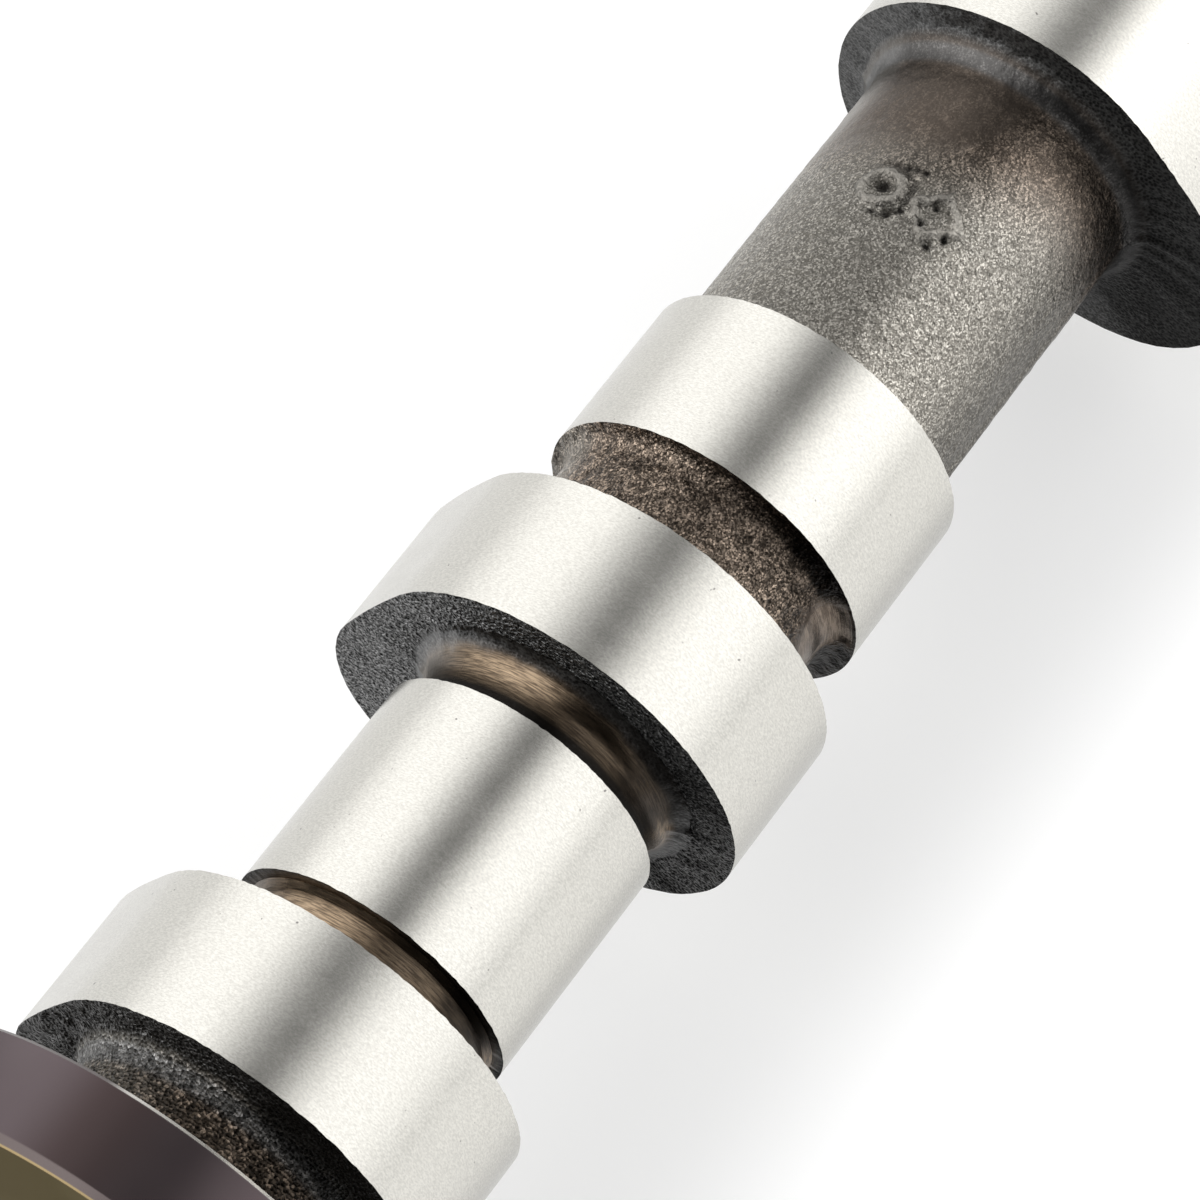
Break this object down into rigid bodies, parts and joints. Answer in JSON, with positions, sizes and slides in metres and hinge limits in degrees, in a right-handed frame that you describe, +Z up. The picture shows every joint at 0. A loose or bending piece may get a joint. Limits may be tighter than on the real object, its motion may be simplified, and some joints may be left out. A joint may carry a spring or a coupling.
{
  "type": "camshaft",
  "caption": "Cast iron overhead camshaft with ground twin lobes either side of each journal, round collars between cylinders and a plated drive flange.",
  "frame": {"origin": "on the shaft's axis, in the plane of the drive flange's front face", "axes": "+X along the shaft from the drive end to the rear end, +Z up as it lies on its side, +Y across"},
  "size_m": [0.3048, 0.0486, 0.0486],
  "materials": {
    "cast_iron": "lobes, journals and collars ground bright; the rest rough sand cast, dark grey to brown",
    "plated_steel": "smooth mauve-brown plated rim and olive front face, with a bright turned rear edge"
  },
  "bodies": {
    "root": {"camshaft": "cast_iron", "drive_flange": "plated_steel"}
  },
  "joints": []
}
